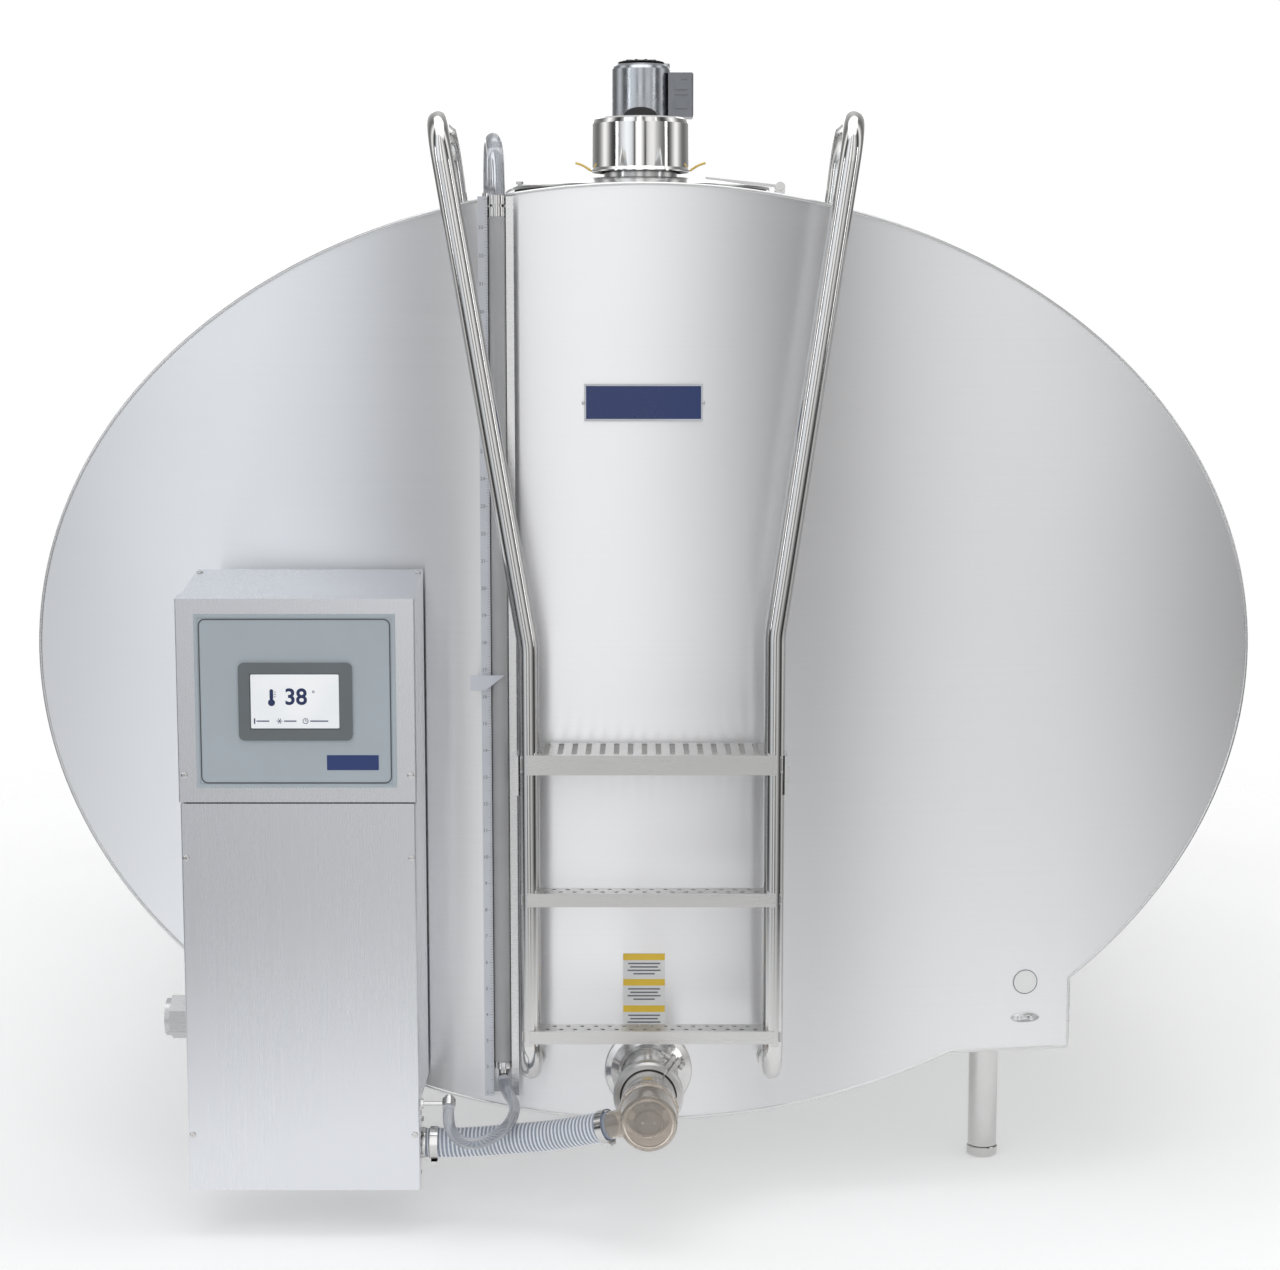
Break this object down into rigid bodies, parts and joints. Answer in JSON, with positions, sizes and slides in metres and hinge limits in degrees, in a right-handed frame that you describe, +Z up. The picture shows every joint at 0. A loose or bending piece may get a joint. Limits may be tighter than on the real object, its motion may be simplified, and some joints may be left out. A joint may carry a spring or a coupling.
{
  "type": "bulk milk tank",
  "caption": "Oval insulated bulk milk cooling tank on legs with bowed ends, steps and handrails, control cabinet, level gauge, manhole, agitator and bottom outlet.",
  "frame": {"origin": "on the floor, at the middle of the overall width and length", "axes": "+Z up, +X to the right seen from the front, +Y from the cabinet end to the rear end"},
  "size_m": [2.296, 3.662, 2.267],
  "materials": {
    "stainless": "satin",
    "stainless_inner": "satin",
    "stainless_turned": "turned",
    "stainless_tube": "satin",
    "stainless_step": "satin",
    "stainless_cast": "cast",
    "stainless_ruler": "etched scale",
    "stainless_cabinet": "satin",
    "foam": "rigid foam",
    "copper": "drawn tube",
    "rubber_black": "moulded",
    "motor_paint": "semi-gloss",
    "motor_shell": "semi-gloss",
    "sight_tube": "clear tube",
    "pointer_plastic": "moulded",
    "clear_hose": "clear",
    "amber_plastic": "clear smoky",
    "plug_dark": "moulded",
    "ribbed_hose": "clear with white rib",
    "display_film": "printed film",
    "screen_bezel": "moulded",
    "circuit_board": "board",
    "union_plastic": "moulded",
    "plate_blue": "printed"
  },
  "bodies": {
    "tank": {"outer_shell": "stainless", "front_head": "stainless", "rear_head": "stainless", "inner_vessel": "stainless_inner", "insulation_foam": "foam", "evaporator_plate": "stainless_inner", "refrigerant_stubs": "copper", "support_rails": "stainless_inner", "legs": "stainless", "manhole_neck": "stainless", "lid_gasket": "rubber_black", "lid_hinge_bracket": "stainless", "lid_hinge_pin": "stainless_turned", "agitator_port": "stainless", "shaft_seal": "rubber_black", "gearbox_housing": "motor_paint", "motor_housing": "motor_shell", "terminal_box": "motor_shell", "spray_ball": "stainless_turned", "handrail_left": "stainless_tube", "handrail_right": "stainless_tube", "top_step": "stainless_step", "lower_steps": "stainless_step", "standoff_brackets": "stainless", "gauge_channel": "stainless", "gauge_ruler": "stainless_ruler", "sight_tube": "sight_tube", "gauge_fittings": "stainless_turned", "gauge_vent_hose": "clear_hose", "gauge_drain_hose": "clear_hose", "hose_clip": "stainless_turned", "outlet_flange": "stainless_turned", "outlet_clamp": "stainless_cast", "outlet_valve": "stainless_turned", "outlet_housing": "amber_plastic", "suction_hose": "ribbed_hose", "hose_clamps": "stainless_turned", "cabinet_body": "stainless_cabinet", "upper_cover": "stainless_cabinet", "lower_cover": "stainless_cabinet", "display_plate": "display_film", "touch_screen": "screen_bezel", "cabinet_screws": "stainless_turned", "control_board": "circuit_board", "drain_union": "union_plastic", "pump_housing": "stainless_turned", "pump_motor": "motor_paint", "name_plate": "plate_blue"},
    "lid": {"manhole_lid": "stainless"},
    "vent_cap": {"vent_cap": "stainless"},
    "agitator": {"agitator_shaft": "stainless_turned", "agitator_paddle": "stainless_turned"},
    "impeller": {"pump_impeller": "stainless_cast"},
    "outlet_plug": {"outlet_plug": "plug_dark"},
    "wing_nut": {"clamp_wing_nut": "stainless_cast"},
    "gauge_pointer": {"gauge_pointer": "pointer_plastic"},
    "foot_front_left": {"foot_front_left": "stainless_turned"},
    "foot_front_right": {"foot_front_right": "stainless_turned"},
    "foot_rear_left": {"foot_rear_left": "stainless_turned"},
    "foot_rear_right": {"foot_rear_right": "stainless_turned"}
  },
  "joints": [
    {"name": "lid_hinge", "type": "hinge", "parent": "tank", "child": "lid", "pos_m": [0.272, -1.019, 1.912], "axis": [0, 1, 0], "range_deg": [0, 100]},
    {"name": "vent_cap_lift", "type": "slide", "parent": "lid", "child": "vent_cap", "axis": [0, 0, 1], "range_m": [0, 0.3]},
    {"name": "agitator_spin", "type": "hinge", "parent": "tank", "child": "agitator", "pos_m": [-0.006, 0.131, 1.2], "axis": [0, 0, 1], "continuous": true},
    {"name": "impeller_spin", "type": "hinge", "parent": "tank", "child": "impeller", "pos_m": [-0.44, -1.657, 0.155], "axis": [1, 0, 0], "continuous": true},
    {"name": "outlet_plug_slide", "type": "slide", "parent": "tank", "child": "outlet_plug", "axis": [0, -1, 0], "range_m": [0, 0.02]},
    {"name": "wing_nut_turn", "type": "hinge", "parent": "tank", "child": "wing_nut", "pos_m": [0.05602, -1.66, 0.31072], "axis": [-0.809, 0, 0.5878], "continuous": true},
    {"name": "gauge_pointer_slide", "type": "slide", "parent": "tank", "child": "gauge_pointer", "axis": [0, 0, 1], "range_m": [-0.7, 0.8]},
    {"name": "foot_front_left_screw", "type": "hinge", "parent": "tank", "child": "foot_front_left", "pos_m": [-0.675, -1.269, 0.05], "axis": [0, 0, 1], "continuous": true},
    {"name": "foot_front_right_screw", "type": "hinge", "parent": "tank", "child": "foot_front_right", "pos_m": [0.675, -1.269, 0.05], "axis": [0, 0, 1], "continuous": true},
    {"name": "foot_rear_left_screw", "type": "hinge", "parent": "tank", "child": "foot_rear_left", "pos_m": [-0.675, 1.531, 0.05], "axis": [0, 0, 1], "continuous": true},
    {"name": "foot_rear_right_screw", "type": "hinge", "parent": "tank", "child": "foot_rear_right", "pos_m": [0.675, 1.531, 0.05], "axis": [0, 0, 1], "continuous": true}
  ]
}
